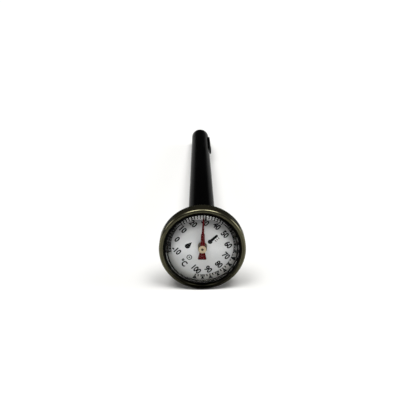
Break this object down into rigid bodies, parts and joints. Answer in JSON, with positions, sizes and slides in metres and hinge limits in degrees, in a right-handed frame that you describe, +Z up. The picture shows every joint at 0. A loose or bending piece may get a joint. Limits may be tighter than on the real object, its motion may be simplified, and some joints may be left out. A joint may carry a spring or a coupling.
{
  "type": "dial thermometer",
  "caption": "Pocket bimetal dial thermometer lying in its tapered black sheath with a pocket clip; round steel head, white Celsius dial and red pointer.",
  "frame": {"origin": "on the surface the thermometer lies on, under the middle of its bounding box", "axes": "+Y away from the reader of the dial, under the stem; +X to the reader's right, the side of the pocket clip; +Z up. The stem's axis falls 4.10 degrees towards the sheath's closed end"},
  "size_m": [0.0276, 0.1406, 0.0277],
  "materials": {
    "polished_steel": "polished stainless steel with fine turning marks",
    "satin_steel": "satin stainless steel",
    "lens_clear": "clear moulded plastic",
    "black_rubber": "matt",
    "dial_white": "satin white enamel with a black printed scale",
    "nylon": "natural nylon",
    "pointer_red": "satin dark red paint",
    "brass": "turned brass",
    "bimetal": "rolled bimetal strip",
    "sheath_black": "gloss moulded plastic",
    "clip_black": "black enamelled spring steel"
  },
  "bodies": {
    "stem": {"stem_tube": "satin_steel", "stem_tip": "satin_steel", "hex_nut": "satin_steel", "seal_ring": "black_rubber", "retaining_collar": "satin_steel", "upper_guide_bush": "brass", "middle_guide_bush": "brass", "lower_guide_bush": "brass", "bimetal_coil": "bimetal", "coil_anchor": "satin_steel"},
    "head": {"bezel_ring": "polished_steel", "case_cup": "polished_steel", "lens": "lens_clear", "lens_gasket": "black_rubber", "dial_plate": "dial_white", "dial_spacer": "nylon", "friction_washer": "satin_steel"},
    "movement": {"pointer": "pointer_red", "pointer_hub": "brass", "spindle": "satin_steel", "coil_collet": "brass"},
    "sheath": {"sheath_tube": "sheath_black", "sheath_end_cap": "sheath_black"},
    "clip": {"pocket_clip": "clip_black"}
  },
  "joints": [
    {"name": "calibration_turn", "type": "hinge", "parent": "stem", "child": "head", "pos_m": [0, -0.06164, 0.01346], "axis": [0, 0.9974, -0.0714], "continuous": true},
    {"name": "pointer_turn", "type": "hinge", "parent": "stem", "child": "movement", "pos_m": [0, -0.06832, 0.01393], "axis": [0, 0.9974, -0.0714], "range_deg": [-101.6, 190.3], "stiffness_Nm_per_rad": 0.0005},
    {"name": "sheath_pull", "type": "slide", "parent": "stem", "child": "sheath", "axis": [0, 0.9974, -0.0714], "range_m": [0, 0.125]},
    {"name": "clip_flex", "type": "hinge", "parent": "sheath", "child": "clip", "pos_m": [0.00345, 0.06224, 0.00458], "axis": [0, 0.0714, 0.9974], "range_deg": [0, 6], "stiffness_Nm_per_rad": 0.3}
  ]
}
